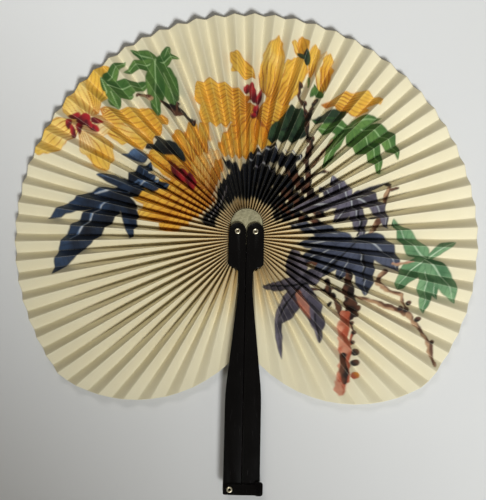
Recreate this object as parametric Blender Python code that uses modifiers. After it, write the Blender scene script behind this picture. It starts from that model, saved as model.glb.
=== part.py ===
"""Round pleated hand fan, open and lying on its back, one object for each sub-part.

Metres, +Z up. The front of the fan faces +Z, the handle points to -Y, and the origin is on the
surface that the fan lies on, under the middle of its box. A long strip of pleated paper is
strung round a small hub and glued at both ends to the halves of a split handle. Each half is a
channel moulding that turns about an eyelet in the hub, so that both halves swing round through
half a turn, meet again, and close over the folded leaf like a case.
"""

import math

import bmesh
import bpy
from mathutils import Vector

MM = 0.001

# Leaf
LEAF_RADIUS = 121 * MM
PLEATS = 64
PLEATS_PER_RUN = 2
PANEL_WIDTH = 6.6 * MM
PAPER = 0.25 * MM
LAST_FOLD = math.radians(177.8)
PITCH_LEFT = 4.97
PITCH_RIGHT = 5.44
PITCH_CHANGE = 20
PITCH_GROWTH = 0.066
GROWTH_FROM = 126
RIM_STEPS = 7112
LOBE_FROM = math.radians(116)
LOBE_X = 56 * MM
LOBE_Y = -18.3 * MM
LOBE_RADIUS = 69.3 * MM
LEAF_STATIONS = 4
WIDEST_SPAN = 0.95 * PANEL_WIDTH

# Hub
ARCH_Y = 4.2 * MM
INNER_RADIUS = 8.6 * MM
INNER_DROP = 6.7 * MM
INNER_SIDE_END = -16 * MM
INNER_END = (2.4 * MM, -20 * MM)
SIDE_TURN = math.radians(150)
PLATE_RADIUS = 8.2 * MM
PLATE_FOOT = -7 * MM
PLATE_CORNER = 1.5 * MM
BOARD = 0.7 * MM
CORD_RADIUS = 8.0 * MM
CORD_THICK = 0.5 * MM
CORD_FOOT = -7.5 * MM

# Handle
PIVOT_X = 4.65 * MM
HALF_WIDTH = 9 * MM
HANDLE_END = -133.2 * MM
HEAD_END = -17.4 * MM
SHOULDER = (7.7 * MM, -18.6 * MM)
NECK_WIDTH = 3.65 * MM
NECK_TOP = -22.8 * MM
NECK_END = -31 * MM
FLARE_END = -79 * MM
FLARE_ROUND = -88 * MM
FLARE_INSET = 0.45 * MM
FLARE_EASE = 0.12 * MM
SCOOP_START = 96
END_CORNER = 0.7 * MM
HANDLE_DEPTH = 9.6 * MM
WALL = 1.2 * MM
WEB_TOP = -19 * MM
GAP = 0.3 * MM

# Fixings
HOLE_RADIUS = 1.25 * MM
BARREL_RADIUS = 0.95 * MM
BORE_RADIUS = 0.62 * MM
FLANGE_RADIUS = 1.5 * MM
FLANGE_THICK = 0.4 * MM
HEAD_ROLL = 0.25 * MM
BORE_EASE = 0.15 * MM
CLEARANCE = 0.2 * MM
BACK_RECESS = 0.1 * MM
SEAT_RADIUS = 1.8 * MM
SEAT_DEPTH = 0.7 * MM
EYELET_SIDES = 16

# Clasp
CLASP_PIVOT = (-5.85 * MM, -130.6 * MM)
STRAP_HALF = 2.6 * MM
STRAP_THICK = 0.7 * MM
STRAP_END = 7 * MM
GRIP_START = 6.5 * MM
GRIP_END = 10.65 * MM
GRIP_TOP = -126.7 * MM
GRIP_FOOT = -133.5 * MM
GRIP_THICK = 1.2 * MM
GRIP_CORNER = 1.3 * MM
LIP_FOOT = 4 * MM

# Leaf ends
TAB_X = 1.65 * MM
TAB_THICK = 0.4 * MM
TAB_HEIGHT = 5 * MM
TAB_TOP = -21 * MM
TAB_FOOT = -58 * MM

MIDDLE = HANDLE_DEPTH / 2
HUB_Y = -(LEAF_RADIUS + GRIP_FOOT) / 2
FRONT_PLATE = HANDLE_DEPTH - WALL - GAP - BOARD
BACK_PLATE = WALL + GAP
STRAP_BASE = HANDLE_DEPTH + GAP

BLACK = ((0.012, 0.011, 0.010), 0.32, 0.0)
BRASS = ((0.74, 0.68, 0.48), 0.35, 1.0)
PAPER_CREAM = ((0.78, 0.70, 0.42), 0.8, 0.0)
GREY_BOARD = ((0.36, 0.33, 0.19), 0.9, 0.0)
THREAD = ((0.70, 0.66, 0.55), 0.9, 0.0)


def clear_scene():
    for thing in list(bpy.data.objects):
        bpy.data.objects.remove(thing, do_unlink=True)


def new_collection(name):
    made = bpy.data.collections.new(name)
    bpy.context.scene.collection.children.link(made)
    return made


def material(name, look):
    colour, roughness, metallic = look
    made = bpy.data.materials.new(name)
    made.use_nodes = True
    shader = made.node_tree.nodes["Principled BSDF"]
    shader.inputs["Base Color"].default_value = (*colour, 1)
    shader.inputs["Roughness"].default_value = roughness
    shader.inputs["Metallic"].default_value = metallic
    return made


def arc(centre, radius, start, end, steps):
    """Points along an arc, with both ends, angles in degrees from +X."""
    turns = [math.radians(start + (end - start) * k / steps) for k in range(steps + 1)]
    return [(centre[0] + radius * math.cos(t), centre[1] + radius * math.sin(t)) for t in turns]


def circle(centre, radius, steps=24):
    return arc(centre, radius, 0, 360, steps)[:-1]


def rounded_box(low, high, radius, steps=4):
    """A rectangle with four round corners, anticlockwise."""
    inner = (low[0] + radius, low[1] + radius, high[0] - radius, high[1] - radius)
    corners = ((inner[2], inner[3]), (inner[0], inner[3]), (inner[0], inner[1]), (inner[2], inner[1]))
    points = []
    for turn, corner in enumerate(corners):
        points += arc(corner, radius, 90 * turn, 90 * turn + 90, steps)
    return points


def mirrored(points, side):
    return [(side * x, y) for x, y in points]


def link(thing, group, look=None):
    group.objects.link(thing)
    if look is not None:
        thing.data.materials.append(look)
    return thing


def as_mesh(thing, name):
    """The evaluated shape of an unlinked curve as a mesh object with its caps welded."""
    bpy.context.scene.collection.objects.link(thing)
    bpy.context.view_layer.update()
    seen = thing.evaluated_get(bpy.context.evaluated_depsgraph_get())
    mesh = bpy.data.meshes.new_from_object(seen)
    matrix = thing.matrix_world.copy()
    bpy.data.objects.remove(thing, do_unlink=True)
    work = bmesh.new()
    work.from_mesh(mesh)
    bmesh.ops.remove_doubles(work, verts=work.verts, dist=0.00001)
    bmesh.ops.recalc_face_normals(work, faces=work.faces)
    work.to_mesh(mesh)
    work.free()
    mesh.name = name
    made = bpy.data.objects.new(name, mesh)
    made.matrix_world = matrix
    return made


def plate(name, outlines, low, high, origin=(0, 0)):
    """A flat plate from closed outlines in hub coordinates, the first outside and the rest holes."""
    curve = bpy.data.curves.new(name, "CURVE")
    curve.dimensions = "2D"
    curve.fill_mode = "BOTH"
    curve.extrude = (high - low) / 2
    for outline in outlines:
        spline = curve.splines.new("POLY")
        spline.points.add(len(outline) - 1)
        for point, (x, y) in zip(spline.points, outline):
            point.co = (x - origin[0], y - origin[1], 0, 1)
        spline.use_cyclic_u = True
    shape = bpy.data.objects.new(name, curve)
    shape.location = (origin[0], origin[1] + HUB_Y, (low + high) / 2)
    return as_mesh(shape, name)


def block(name, low, high):
    """A box between two corners in hub coordinates."""
    mesh = bpy.data.meshes.new(name)
    work = bmesh.new()
    bmesh.ops.create_cube(work, size=1)
    size = [b - a for a, b in zip(low, high)]
    bmesh.ops.scale(work, vec=size, verts=work.verts)
    work.to_mesh(mesh)
    work.free()
    made = bpy.data.objects.new(name, mesh)
    made.location = [(a + b) / 2 for a, b in zip(low, high)]
    made.location.y += HUB_Y
    return made


def turned(name, profile, centre):
    """A ring turned from a closed profile of (radius, z), run down its outer side."""
    mesh = bpy.data.meshes.new(name)
    count = len(profile)
    edges = [(k, (k + 1) % count) for k in range(count)]
    mesh.from_pydata([(r, 0, z) for r, z in profile], edges, [])
    made = bpy.data.objects.new(name, mesh)
    made.location = (centre[0], centre[1] + HUB_Y, 0)
    screw = made.modifiers.new("turn", "SCREW")
    screw.steps = EYELET_SIDES
    screw.render_steps = EYELET_SIDES
    screw.use_merge_vertices = True
    screw.merge_threshold = 0.00001
    screw.use_smooth_shade = True
    return made


def combine(base, tool, operation, cutters):
    """Adds or cuts a helper shape with an exact Boolean, and keeps it hidden with the cutters."""
    link(tool, cutters)
    tool.hide_render = True
    tool.display_type = "WIRE"
    step = base.modifiers.new(tool.name, "BOOLEAN")
    step.operation = operation
    step.object = tool
    step.solver = "EXACT"


# The leaf's folds


def pitch(angle):
    """Degrees that one pleat spans at an angle, in degrees clockwise from the top."""
    share = min(max(angle / PITCH_CHANGE + 0.5, 0), 1)
    even = PITCH_LEFT + (PITCH_RIGHT - PITCH_LEFT) * share
    return even + PITCH_GROWTH * max(0, abs(angle) - GROWTH_FROM)


def fold_angles():
    """Angles of all folds along the rim, from the left end of the leaf to the right end."""
    last = math.degrees(LAST_FOLD)
    grid = [-last + 2 * last * k / RIM_STEPS for k in range(RIM_STEPS + 1)]
    passed = [0.0]
    for angle in grid[1:]:
        passed.append(passed[-1] + 1 / pitch(angle))
    folds = 2 * PLEATS
    found, at = [], 0
    for fold in range(folds + 1):
        wanted = passed[-1] * fold / folds
        while at < RIM_STEPS and passed[at + 1] < wanted:
            at += 1
        found.append(math.radians(grid[min(at + 1, RIM_STEPS)]))
    found[0], found[-1] = -LAST_FOLD, LAST_FOLD
    return found


def rim_point(angle):
    """Where a fold meets the rim: a circle, cut back by a smaller round lobe near the handle."""
    side = math.copysign(1, angle)
    across, along = math.sin(angle), math.cos(angle)
    reach = side * LOBE_X * across + LOBE_Y * along
    lobe = reach + math.sqrt(LOBE_RADIUS**2 - LOBE_X**2 - LOBE_Y**2 + reach**2)
    radius = min(LEAF_RADIUS, lobe) if abs(angle) > LOBE_FROM else LEAF_RADIUS
    return Vector((radius * across, radius * along))


def inner_point(angle):
    """Where a fold ends at the hub: an arch round the plate, its sides, then in to the web."""
    turn, side = abs(angle), math.copysign(1, angle)
    quarter = math.pi / 2
    if turn <= quarter:
        along = (quarter * INNER_RADIUS + INNER_DROP) * turn / quarter
        lean = min(along / INNER_RADIUS, quarter)
        rise = INNER_RADIUS * math.cos(lean) - (along - lean * INNER_RADIUS)
        return Vector((side * INNER_RADIUS * math.sin(lean), ARCH_Y + rise))
    low = ARCH_Y - INNER_DROP
    if turn <= SIDE_TURN:
        share = (turn - quarter) / (SIDE_TURN - quarter)
        return Vector((side * INNER_RADIUS, low + (INNER_SIDE_END - low) * share))
    share = quarter * (turn - SIDE_TURN) / (LAST_FOLD - SIDE_TURN)
    x = INNER_END[0] + (INNER_RADIUS - INNER_END[0]) * math.cos(share)
    y = INNER_SIDE_END + (INNER_END[1] - INNER_SIDE_END) * math.sin(share)
    return Vector((side * x, y))


def run_direction(angle):
    """The direction of the fold at an angle, clockwise from the top."""
    way = rim_point(angle) - inner_point(angle)
    return math.atan2(way.x, way.y)


def run_pivot(angle):
    """The point that a run of pleats turns about to reach its place in the closed stack."""
    turn = run_direction(angle)
    stack = (PIVOT_X * 2 - WALL - 2 * GAP) * angle / LAST_FOLD
    start = complex(*inner_point(angle))
    end = complex(stack, ARCH_Y + INNER_RADIUS)
    spin = complex(math.cos(turn), math.sin(turn))
    centre = (end - spin * start) / (1 - spin)
    return centre.real, centre.imag


def leaf_run(name, angles, group, look):
    """One run of the pleated sheet: ruled panels between folds, thickened straight up."""
    mid = angles[len(angles) // 2]
    origin = run_pivot(mid)
    last = len(angles) - 1
    work = bmesh.new()
    rows = []
    for fold, angle in enumerate(angles):
        inner, rim = inner_point(angle), rim_point(angle)
        if fold in (0, last):
            toward = angles[1] if fold == 0 else angles[last - 1]
            for point, other in ((inner, inner_point(toward)), (rim, rim_point(toward))):
                point += (other - point).normalized() * GAP / 2
        beside = angles[fold + 1] if fold < last else angles[fold - 1]
        inner_span = (inner_point(beside) - inner_point(angle)).length
        rim_span = rim_point(angle).length * abs(beside - angle)
        side = 1 if fold % 2 else -1
        row = []
        for station in range(LEAF_STATIONS + 1):
            share = station / LEAF_STATIONS
            flat = inner.lerp(rim, share)
            span = min(inner_span + (rim_span - inner_span) * share, WIDEST_SPAN)
            depth = math.sqrt(PANEL_WIDTH**2 - span**2)
            z = MIDDLE + side * depth / 2 - PAPER / 2
            row.append(work.verts.new((flat.x - origin[0], flat.y - origin[1], z)))
        rows.append(row)
    for row, beside in zip(rows, rows[1:]):
        for k in range(LEAF_STATIONS):
            work.faces.new((row[k], row[k + 1], beside[k + 1], beside[k]))
    raised = bmesh.ops.extrude_face_region(work, geom=work.faces[:])["geom"]
    lifted = [item for item in raised if isinstance(item, bmesh.types.BMVert)]
    bmesh.ops.translate(work, verts=lifted, vec=(0, 0, PAPER))
    bmesh.ops.recalc_face_normals(work, faces=work.faces)
    mesh = bpy.data.meshes.new(name)
    work.to_mesh(mesh)
    work.free()
    made = bpy.data.objects.new(name, mesh)
    made.location = (origin[0], origin[1] + HUB_Y, 0)
    link(made, group, look)


def leaf(group, look):
    angles = fold_angles()
    folds_per_run = 2 * PLEATS_PER_RUN
    for run in range(PLEATS // PLEATS_PER_RUN):
        first = run * folds_per_run
        leaf_run(f"leaf_pleats_{run + 1:02d}", angles[first : first + folds_per_run + 1], group, look)


def leaf_end(name, side, group, look):
    """The end of the paper strip, pasted along the web inside a handle half."""
    xs = sorted((side * TAB_X, side * (TAB_X + TAB_THICK)))
    low = (xs[0], TAB_FOOT, MIDDLE - TAB_HEIGHT / 2)
    high = (xs[1], TAB_TOP, MIDDLE + TAB_HEIGHT / 2)
    link(block(name, low, high), group, look)


# Handle


def half_outline():
    """The face of the right handle half: round head, waist and widening grip."""
    seam = GAP / 2
    edge = seam + HALF_WIDTH
    pivot = (PIVOT_X, 0)
    points = arc(pivot, HALF_WIDTH / 2, 180, 0, 16)
    points.append((edge, HEAD_END))
    points.append(SHOULDER)
    scoop = SHOULDER[0] - NECK_WIDTH
    points += arc((SHOULDER[0], NECK_TOP), scoop, SCOOP_START, 180, 8)[1:]
    points.append((NECK_WIDTH, NECK_END))
    points.append((edge - FLARE_INSET, FLARE_END))
    points.append((edge - FLARE_EASE, (FLARE_END + FLARE_ROUND) / 2))
    points.append((edge, FLARE_ROUND))
    points += arc((edge - END_CORNER, HANDLE_END + END_CORNER), END_CORNER, 0, -90, 4)
    points.append((seam, HANDLE_END))
    return points


def handle_half(name, side, group, cutters, look):
    """A channel moulding: two faces joined by a web along the seam, open on the outer side."""
    outline = mirrored(half_outline(), side)
    pivot = (side * PIVOT_X, 0)
    front_holes = [circle(pivot, HOLE_RADIUS)]
    if side < 0:
        front_holes.append(circle(CLASP_PIVOT, HOLE_RADIUS))
    front = plate(name, [outline, *front_holes], HANDLE_DEPTH - WALL, HANDLE_DEPTH, pivot)
    back = plate(name + "_back_face", [outline, circle(pivot, HOLE_RADIUS)], 0, WALL, pivot)
    xs = sorted((side * GAP / 2, side * (GAP / 2 + WALL)))
    web = block(
        name + "_web",
        (xs[0], HANDLE_END, WALL / 2),
        (xs[1], WEB_TOP, HANDLE_DEPTH - WALL / 2),
    )
    seat = plate(name + "_seat", [circle(pivot, SEAT_RADIUS)], -SEAT_DEPTH, SEAT_DEPTH, pivot)
    link(front, group, look)
    combine(front, back, "UNION", cutters)
    combine(front, web, "UNION", cutters)
    combine(front, seat, "DIFFERENCE", cutters)


# Hub


def hub_outline():
    """A round-topped plate that both handle heads turn on."""
    points = arc((0, ARCH_Y), PLATE_RADIUS, 0, 180, 28)
    foot = (PLATE_RADIUS - PLATE_CORNER, PLATE_FOOT + PLATE_CORNER)
    points += arc((-foot[0], foot[1]), PLATE_CORNER, 180, 270, 4)
    points += arc((foot[0], foot[1]), PLATE_CORNER, 270, 360, 4)
    return points


def hub_plate(name, low, group, look):
    holes = [circle((side * PIVOT_X, 0), HOLE_RADIUS) for side in (-1, 1)]
    link(plate(name, [hub_outline(), *holes], low, low + BOARD), group, look)


def eyelet_profile(head, under, clinch):
    """A tubular rivet: rolled head, barrel, and a clinched foot beyond the last layer."""
    way = 1 if head > clinch else -1
    roll = way * HEAD_ROLL
    points = [
        (BORE_RADIUS, head - roll),
        (BORE_RADIUS + BORE_EASE, head),
        (FLANGE_RADIUS - HEAD_ROLL, head),
        (FLANGE_RADIUS, head - roll),
        (FLANGE_RADIUS, under),
        (BARREL_RADIUS, under),
        (BARREL_RADIUS, clinch + way * FLANGE_THICK),
        (FLANGE_RADIUS, clinch + way * FLANGE_THICK),
        (FLANGE_RADIUS, clinch),
        (BORE_RADIUS, clinch),
    ]
    return points if way > 0 else points[::-1]


def hub_eyelets(group, look):
    front_under = HANDLE_DEPTH + CLEARANCE
    front_foot = FRONT_PLATE - CLEARANCE - FLANGE_THICK
    back_foot = BACK_PLATE + BOARD + CLEARANCE + FLANGE_THICK
    for word, side in (("left", -1), ("right", 1)):
        centre = (side * PIVOT_X, 0)
        front = eyelet_profile(front_under + FLANGE_THICK, front_under, front_foot)
        link(turned(f"eyelet_front_{word}", front, centre), group, look)
        back = eyelet_profile(BACK_RECESS, BACK_RECESS + FLANGE_THICK, back_foot)
        link(turned(f"eyelet_back_{word}", back, centre), group, look)


def lacing_cord(group, look):
    """The thread that strings the inner ends of the pleats round the hub."""
    foot = [(CORD_RADIUS, CORD_FOOT), (CORD_RADIUS, (CORD_FOOT + ARCH_Y) / 2)]
    route = foot + arc((0, ARCH_Y), CORD_RADIUS, 0, 180, 20) + mirrored(foot[::-1], -1)
    curve = bpy.data.curves.new("lacing_cord", "CURVE")
    curve.dimensions = "3D"
    curve.bevel_depth = CORD_THICK / 2
    curve.bevel_resolution = 2
    curve.use_fill_caps = True
    spline = curve.splines.new("POLY")
    spline.points.add(len(route) - 1)
    for point, (x, y) in zip(spline.points, route):
        point.co = (x, y + HUB_Y, MIDDLE, 1)
    link(as_mesh(bpy.data.objects.new("lacing_cord", curve), "lacing_cord"), group, look)


# Clasp


def clasp(group, cutters, look, metal):
    """A strap that turns on the left half and snaps its lip over the edge of the right one."""
    low = CLASP_PIVOT[1] - STRAP_HALF
    high = CLASP_PIVOT[1] + STRAP_HALF
    outline = arc(CLASP_PIVOT, STRAP_HALF, 90, 270, 12) + [(STRAP_END, low), (STRAP_END, high)]
    strap = plate(
        "clasp_strap",
        [outline, circle(CLASP_PIVOT, HOLE_RADIUS)],
        STRAP_BASE,
        STRAP_BASE + STRAP_THICK,
        CLASP_PIVOT,
    )
    grip_shape = rounded_box((GRIP_START, GRIP_FOOT), (GRIP_END, GRIP_TOP), GRIP_CORNER)
    grip = plate("clasp_grip", [grip_shape], STRAP_BASE, STRAP_BASE + GRIP_THICK)
    lip_x = GAP / 2 + HALF_WIDTH + GAP
    lip = block(
        "clasp_lip",
        (lip_x, GRIP_FOOT + GRIP_CORNER, LIP_FOOT),
        (GRIP_END, GRIP_TOP - GRIP_CORNER, STRAP_BASE + GRIP_THICK / 2),
    )
    link(strap, group, look)
    combine(strap, grip, "UNION", cutters)
    combine(strap, lip, "UNION", cutters)
    under = STRAP_BASE + STRAP_THICK + CLEARANCE
    foot = HANDLE_DEPTH - WALL - CLEARANCE - FLANGE_THICK
    profile = eyelet_profile(under + FLANGE_THICK, under, foot)
    link(turned("clasp_eyelet", profile, CLASP_PIVOT), group, metal)


def main():
    clear_scene()
    fan = new_collection("hand_fan")
    cutters = new_collection("cutters")
    black = material("black_plastic", BLACK)
    brass = material("eyelet_brass", BRASS)
    cream = material("leaf_paper", PAPER_CREAM)
    board = material("hub_board", GREY_BOARD)
    thread = material("lacing_thread", THREAD)
    handle_half("handle_left", -1, fan, cutters, black)
    handle_half("handle_right", 1, fan, cutters, black)
    hub_plate("hub_plate_front", FRONT_PLATE, fan, board)
    hub_plate("hub_plate_back", BACK_PLATE, fan, board)
    hub_eyelets(fan, brass)
    lacing_cord(fan, thread)
    clasp(fan, cutters, black, brass)
    leaf_end("leaf_end_left", -1, fan, cream)
    leaf_end("leaf_end_right", 1, fan, cream)
    leaf(fan, cream)


main()
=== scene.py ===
"""Round pleated hand fan with a painted paper leaf and a split black handle.

The frame holds the solids and the joints. This script makes what is seen: the pleated and
painted paper, the moulded handle halves, the hub boards, the eyelets, the cord and the clasp.
Metres throughout, +Z out of the painted front, +Y from the handle to the top of the leaf.
"""

import math

import bmesh
import bpy
import numpy as np
from mathutils import Matrix, Vector


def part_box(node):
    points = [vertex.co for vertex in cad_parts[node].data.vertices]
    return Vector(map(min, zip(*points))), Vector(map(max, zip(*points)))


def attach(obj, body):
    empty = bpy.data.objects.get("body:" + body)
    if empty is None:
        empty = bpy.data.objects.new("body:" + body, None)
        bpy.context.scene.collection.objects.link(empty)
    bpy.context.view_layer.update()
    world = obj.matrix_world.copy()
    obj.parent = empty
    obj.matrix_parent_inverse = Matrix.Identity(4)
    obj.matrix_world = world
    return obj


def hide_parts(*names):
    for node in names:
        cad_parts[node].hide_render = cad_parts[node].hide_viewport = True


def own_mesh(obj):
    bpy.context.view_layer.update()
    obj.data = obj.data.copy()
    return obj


MM = 0.001

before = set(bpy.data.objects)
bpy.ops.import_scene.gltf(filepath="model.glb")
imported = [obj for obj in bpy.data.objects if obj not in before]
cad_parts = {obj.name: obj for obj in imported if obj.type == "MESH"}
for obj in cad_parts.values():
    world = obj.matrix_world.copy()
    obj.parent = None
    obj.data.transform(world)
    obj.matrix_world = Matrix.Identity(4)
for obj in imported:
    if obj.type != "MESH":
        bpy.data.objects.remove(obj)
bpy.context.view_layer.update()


def plan_middle(box):
    """The middle of a box, seen from above."""
    return (box[0][0] + box[1][0]) / 2, (box[0][1] + box[1][1]) / 2


# The hub's middle and the levels of the handle come from the frame's own pieces

HALF_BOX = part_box("handle_right")
PLATE_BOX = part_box("hub_plate_front")
BACK_PLATE_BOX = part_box("hub_plate_back")
GRIP_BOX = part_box("clasp_strap")
CLASP_EYELET_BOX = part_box("clasp_eyelet")

PIVOT_X, HUB_Y = plan_middle(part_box("eyelet_front_right"))
DEPTH = HALF_BOX[1][2]
MIDDLE = DEPTH / 2
SEAM = HALF_BOX[0][0]
EDGE = HALF_BOX[1][0]
HANDLE_END = HALF_BOX[0][1] - HUB_Y

# The leaf's rule: one strip, 64 pleats, folds ruled from an arch round the hub to the rim

LEAF_RADIUS = 121 * MM
PLEATS = 64
PLEATS_PER_RUN = 2
PANEL_WIDTH = 6.6 * MM
PAPER = 0.13 * MM
LAST_FOLD = math.radians(177.8)
PITCH_LEFT = 4.97
PITCH_RIGHT = 5.44
PITCH_CHANGE = 20
PITCH_GROWTH = 0.066
GROWTH_FROM = 126
FOLD_SAMPLES = 7113
LOBE_X = 56 * MM
LOBE_Y = -18.3 * MM
LOBE_RADIUS = 69.3 * MM
ARCH_Y = 4.2 * MM
INNER_RADIUS = 8.6 * MM
INNER_DROP = 6.7 * MM
INNER_SIDE_END = -16 * MM
INNER_END = (2.4 * MM, -20 * MM)
SIDE_TURN = math.radians(150)
FULLEST_SPAN = 0.95 * PANEL_WIDTH
SLACK_FROM, SLACK_TO = 142, 174
SLACK = 0.62

COLUMNS = 10
PRINT_SHIFT = 0.2 * MM
ROWS = 260

# Handle, hub and clasp outlines, in hub coordinates

HEAD_END = -17.4 * MM
SHOULDER = (7.7 * MM, -18.6 * MM)
NECK_WIDTH = 3.65 * MM
NECK_TOP = -22.8 * MM
NECK_END = -31 * MM
FLARE_END = -79 * MM
FLARE_ROUND = -88 * MM
FLARE_INSET = 0.45 * MM
FLARE_EASE = 0.12 * MM
END_CORNER = 0.7 * MM
HALF_EDGE = 0.32 * MM
WALL = 1.2 * MM
WEB_TOP = -19 * MM
HOLE_RADIUS = 1.25 * MM
SEAT_RADIUS = 1.8 * MM
SEAT_DEPTH = 0.7 * MM
PLATE_RADIUS = 8.2 * MM
PLATE_FOOT = -7 * MM
PLATE_CORNER = 1.5 * MM
PLATE_EDGE = 0.12 * MM
BARREL_RADIUS = 0.95 * MM
BORE_RADIUS = 0.62 * MM
FLANGE_RADIUS = 1.5 * MM
FLANGE_THICK = 0.4 * MM
ROLL_STEPS = 12
ROLL_SHAPE = 0.8
STRAP_HALF = 2.6 * MM
STRAP_THICK = 0.7 * MM
STRAP_LAP = 0.5 * MM
STRAP_DROP = 0.6 * MM
CLASP_EDGE = 0.18 * MM
GRIP_START = 6.5 * MM
GRIP_CORNER = 1.3 * MM
GRIP_THICK = 1.2 * MM
LIP_GAP = 0.3 * MM
KNURL_PITCH = 0.62 * MM
KNURL_INSET = 0.4 * MM
KNURL_SIZE = 0.34 * MM
KNURL_TOP = 0.3
KNURL_HEIGHT = 0.3 * MM
KNURL_RISE = 0.25 * MM

# Camera and light

VIEW_HEIGHT = math.radians(80.733)
VIEW_TURN = math.radians(1.22)
VIEW_DISTANCE = 0.5
VIEW_AIM = (-0.0017, -0.0083)
FOCAL = 68.2
TABLE_HALF = 4.0
ROOM_GLOW = 0.11
GLOW_TINT = (1.0, 0.95, 0.86, 1)
WINDOW_WAY = (-72, 48)
WINDOW_SPREAD = 14.3
WINDOW_STRENGTH = 3.3
WINDOW_TINT = (0.96, 0.99, 1.0)
ROOM_WAY = (108, 52)
ROOM_SPREAD = 17
ROOM_STRENGTH = 0.42
ROOM_TINT = (1.0, 0.97, 0.9)
SHADE_SPOT = (-0.324, -0.324, 0)
SHADE_DISTANCE = 1.0
SHADE_HALF = 0.35
SHADE_TURN = 45


# Mesh helpers


def arc(centre, radius, start, end, steps):
    """Points along an arc, with both ends, angles in degrees from +X."""
    turns = [math.radians(start + (end - start) * k / steps) for k in range(steps + 1)]
    return [(centre[0] + radius * math.cos(t), centre[1] + radius * math.sin(t)) for t in turns]


def mirrored(points, side):
    return [(side * x, y) for x, y in points]


def new_object(name, mesh):
    made = bpy.data.objects.new(name, mesh)
    bpy.context.scene.collection.objects.link(made)
    return made


def settled(thing):
    """The object with its modifiers applied to a plain mesh, and its place put in the mesh."""
    bpy.context.view_layer.update()
    seen = thing.evaluated_get(bpy.context.evaluated_depsgraph_get())
    mesh = bpy.data.meshes.new_from_object(seen)
    mesh.transform(thing.matrix_world)
    name = thing.name
    bpy.data.objects.remove(thing, do_unlink=True)
    mesh.name = name
    return new_object(name, mesh)


def plate(name, outline, low, high, holes=()):
    """A flat plate between two heights from an outline in hub coordinates, with round holes."""
    curve = bpy.data.curves.new(name, "CURVE")
    curve.dimensions = "2D"
    curve.fill_mode = "BOTH"
    curve.extrude = (high - low) / 2
    loops = [outline] + [arc(centre, radius, 0, 360, 40)[:-1] for centre, radius in holes]
    for loop in loops:
        spline = curve.splines.new("POLY")
        spline.points.add(len(loop) - 1)
        for point, (x, y) in zip(spline.points, loop):
            point.co = (x, y, 0, 1)
        spline.use_cyclic_u = True
    shape = new_object(name, curve)
    shape.location = (0, HUB_Y, (low + high) / 2)
    made = settled(shape)
    work = bmesh.new()
    work.from_mesh(made.data)
    bmesh.ops.remove_doubles(work, verts=work.verts, dist=0.000005)
    bmesh.ops.dissolve_limit(work, angle_limit=0.001, verts=work.verts, edges=work.edges)
    bmesh.ops.recalc_face_normals(work, faces=work.faces)
    work.to_mesh(made.data)
    work.free()
    return made


def built(name, work):
    """A new object from the mesh under work."""
    mesh = bpy.data.meshes.new(name)
    work.to_mesh(mesh)
    work.free()
    return new_object(name, mesh)


def block(name, low, high):
    """A box between two corners in hub coordinates."""
    work = bmesh.new()
    bmesh.ops.create_cube(work, size=1)
    bmesh.ops.scale(work, vec=[b - a for a, b in zip(low, high)], verts=work.verts)
    middle = [(a + b) / 2 for a, b in zip(low, high)]
    middle[1] += HUB_Y
    bmesh.ops.translate(work, vec=middle, verts=work.verts)
    return built(name, work)


def join(base, tool, operation="UNION"):
    """Joins a helper shape to a piece, or cuts it away, and removes the helper."""
    step = base.modifiers.new("join", "BOOLEAN")
    step.operation = operation
    step.object = tool
    step.solver = "EXACT"
    made = settled(base)
    bpy.data.objects.remove(tool, do_unlink=True)
    return made


def soften(thing, width, segments=3):
    """Rounds the sharp edges of a moulded or cut piece."""
    step = thing.modifiers.new("edges", "BEVEL")
    step.width = width
    step.segments = segments
    step.limit_method = "ANGLE"
    step.angle_limit = math.radians(40)
    made = settled(thing)
    smooth(made)
    return made


def smooth(thing, angle=35):
    thing.data.shade_smooth()
    thing.data.set_sharp_from_angle(angle=math.radians(angle))


def turned(name, profile, centre, steps=48):
    """A ring turned from a closed profile of (radius, z) about an upright axis."""
    work = bmesh.new()
    count = len(profile)
    rings = []
    for k in range(steps):
        turn = 2 * math.pi * k / steps
        across, along = math.cos(turn), math.sin(turn)
        rings.append(
            [work.verts.new((centre[0] + r * across, centre[1] + r * along, z)) for r, z in profile]
        )
    for ring, beside in zip(rings, rings[1:] + rings[:1]):
        for k in range(count):
            after = (k + 1) % count
            work.faces.new((ring[k], beside[k], beside[after], ring[after]))
    bmesh.ops.recalc_face_normals(work, faces=work.faces)
    made = built(name, work)
    smooth(made, 50)
    return made


def coated(thing, material):
    thing.data.materials.clear()
    thing.data.materials.append(material)


def finished(piece, material, body, slot, *nodes):
    """Gives a piece its finish, its body and the nodes of the frame that it stands for."""
    coated(piece, material)
    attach(piece, body)
    if nodes:
        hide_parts(*nodes)


# Node trees


class Wire:
    """A node's output. Python's operators on it add Math nodes to its tree."""

    def __init__(self, board, socket):
        self.board = board
        self.socket = socket

    def __add__(self, other):
        return self.board.maths("ADD", self, other)

    __radd__ = __add__

    def __sub__(self, other):
        return self.board.maths("SUBTRACT", self, other)

    def __rsub__(self, other):
        return self.board.maths("SUBTRACT", other, self)

    def __mul__(self, other):
        return self.board.maths("MULTIPLY", self, other)

    __rmul__ = __mul__

    def __truediv__(self, other):
        return self.board.maths("DIVIDE", self, other)


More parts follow.
